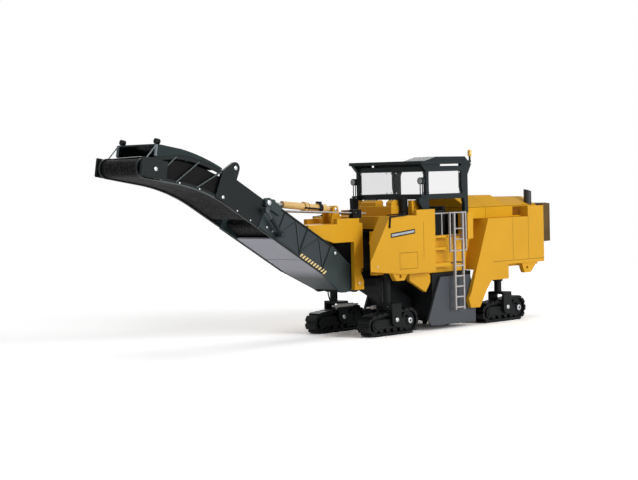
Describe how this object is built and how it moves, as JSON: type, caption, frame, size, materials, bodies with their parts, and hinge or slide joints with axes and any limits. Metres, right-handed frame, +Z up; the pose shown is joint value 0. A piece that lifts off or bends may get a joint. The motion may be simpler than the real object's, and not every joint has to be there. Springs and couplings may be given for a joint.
{
  "type": "cold planer milling machine scale model",
  "caption": "Scale model of a crawler road milling machine with a slewing, lifting and folding discharge conveyor, canopy, ladders and a turning milling drum.",
  "frame": {"origin": "on the floor under the middle of the whole model's bounding box", "axes": "+X forward towards the conveyor's discharge end, +Y to the machine's left, +Z up"},
  "size_m": [0.272, 0.052, 0.0945],
  "materials": {
    "amber_paint": "satin enamel",
    "anthracite_paint": "satin enamel",
    "black_plastic": "moulded, matt",
    "crawler_rubber": "moulded, matt",
    "grey_paint": "satin enamel",
    "belly_grey": "satin enamel",
    "steel_wire": "plain wire",
    "cream_paint": "gloss enamel",
    "belt_rubber": "textured",
    "clear_film": "clear film",
    "amber_lens": "clear amber",
    "seat_black": "moulded, matt"
  },
  "bodies": {
    "chassis": {"bay_grilles": "black_plastic", "beacon": "amber_lens", "canopy_frame": "anthracite_paint", "canopy_roof": "anthracite_paint", "chassis_frame": "black_plastic", "console": "amber_paint", "drum_housing": "black_plastic", "exhaust": "black_plastic", "feed_conveyor": "black_plastic", "front_body": "amber_paint", "front_side_left": "amber_paint", "front_side_right": "amber_paint", "handrails": "steel_wire", "hood": "amber_paint", "ladder_left": "steel_wire", "ladder_right": "steel_wire", "leg_sleeves": "black_plastic", "platform": "amber_paint", "post_lamps": "anthracite_paint", "radiator": "black_plastic", "rear_body": "amber_paint", "seats": "seat_black", "side_levers": "black_plastic", "windows": "clear_film"},
    "crawler_front_left": {"crawler_frame_front_left": "black_plastic", "leg_front_left": "black_plastic", "steering_cylinder_front_left": "steel_wire", "track_front_left": "crawler_rubber"},
    "crawler_front_right": {"crawler_frame_front_right": "black_plastic", "leg_front_right": "black_plastic", "steering_cylinder_front_right": "steel_wire", "track_front_right": "crawler_rubber"},
    "crawler_rear_left": {"crawler_frame_rear_left": "black_plastic", "leg_rear_left": "black_plastic", "track_rear_left": "crawler_rubber"},
    "crawler_rear_right": {"crawler_frame_rear_right": "black_plastic", "leg_rear_right": "black_plastic", "track_rear_right": "crawler_rubber"},
    "milling_drum": {"milling_drum": "anthracite_paint"},
    "side_plate_left": {"side_plate_left": "grey_paint"},
    "side_plate_right": {"side_plate_right": "grey_paint"},
    "slew_bracket": {"bracket_fittings": "black_plastic", "slew_bracket": "amber_paint"},
    "lower_conveyor": {"belly_plates": "belly_grey", "lower_belt": "belt_rubber", "lower_conveyor": "anthracite_paint", "tie_rods": "steel_wire"},
    "upper_conveyor": {"head_lamps": "black_plastic", "head_roller": "anthracite_paint", "upper_belt": "belt_rubber", "upper_conveyor": "anthracite_paint", "upper_cover": "anthracite_paint", "upper_skirts": "black_plastic"},
    "lift_barrel": {"lift_barrel": "cream_paint"},
    "lift_rod": {"lift_rod": "steel_wire"},
    "fold_barrels": {"fold_barrels": "anthracite_paint"},
    "fold_rods": {"fold_rods": "steel_wire"}
  },
  "joints": [
    {"name": "steer_front_left", "type": "hinge", "parent": "chassis", "child": "crawler_front_left", "pos_m": [-0.01236, 0.0175, 0.0152], "axis": [0, 0, 1], "range_deg": [-15, 15]},
    {"name": "steer_front_right", "type": "hinge", "parent": "chassis", "child": "crawler_front_right", "pos_m": [-0.01236, -0.0175, 0.0152], "axis": [0, 0, 1], "range_deg": [-15, 15]},
    {"name": "steer_rear_left", "type": "hinge", "parent": "chassis", "child": "crawler_rear_left", "pos_m": [-0.09856, 0.0175, 0.0152], "axis": [0, 0, 1], "range_deg": [-15, 15]},
    {"name": "steer_rear_right", "type": "hinge", "parent": "chassis", "child": "crawler_rear_right", "pos_m": [-0.09856, -0.0175, 0.0152], "axis": [0, 0, 1], "range_deg": [-15, 15]},
    {"name": "drum_turn", "type": "hinge", "parent": "chassis", "child": "milling_drum", "pos_m": [-0.05696, 0, 0.0114], "axis": [0, 1, 0], "continuous": true},
    {"name": "side_plate_left_lift", "type": "slide", "parent": "chassis", "child": "side_plate_left", "axis": [0, 0, 1], "range_m": [0, 0.004]},
    {"name": "side_plate_right_lift", "type": "slide", "parent": "chassis", "child": "side_plate_right", "axis": [0, 0, 1], "range_m": [0, 0.004]},
    {"name": "conveyor_slew", "type": "hinge", "parent": "chassis", "child": "slew_bracket", "pos_m": [-0.01046, 0, 0.03], "axis": [0, 0, 1], "range_deg": [-20, 20]},
    {"name": "conveyor_lift", "type": "hinge", "parent": "slew_bracket", "child": "lower_conveyor", "pos_m": [-0.00046, 0, 0.0255], "axis": [0, -1, 0], "range_deg": [-10, 5]},
    {"name": "conveyor_fold", "type": "hinge", "parent": "lower_conveyor", "child": "upper_conveyor", "pos_m": [0.06121, 0, 0.06556], "axis": [0, -1, 0], "range_deg": [0, 110]},
    {"name": "lift_barrel_swing", "type": "hinge", "parent": "slew_bracket", "child": "lift_barrel", "pos_m": [0.00654, 0, 0.061], "axis": [0, -1, 0], "range_deg": [-12.12, 6.06]},
    {"name": "lift_rod_slide", "type": "slide", "parent": "lift_barrel", "child": "lift_rod", "axis": [0.9953, 0, 0.0964], "range_m": [-0.00313, 0.00627]},
    {"name": "fold_barrel_swing", "type": "hinge", "parent": "lower_conveyor", "child": "fold_barrels", "pos_m": [0.05556, 0, 0.05099], "axis": [0, -1, 0], "range_deg": [0, 13.86]},
    {"name": "fold_rod_slide", "type": "slide", "parent": "fold_barrels", "child": "fold_rods", "axis": [0.6232, 0, 0.7821], "range_m": [0, 0.00716]}
  ],
  "couplings": [
    {"joint": "lift_barrel_swing", "follows": "conveyor_lift", "ratio": 1.1878},
    {"joint": "lift_rod_slide", "follows": "conveyor_lift", "m_per_rad": -0.035195},
    {"joint": "fold_barrel_swing", "follows": "conveyor_fold", "ratio": 0.12356},
    {"joint": "fold_rod_slide", "follows": "conveyor_fold", "m_per_rad": 0.003656}
  ]
}
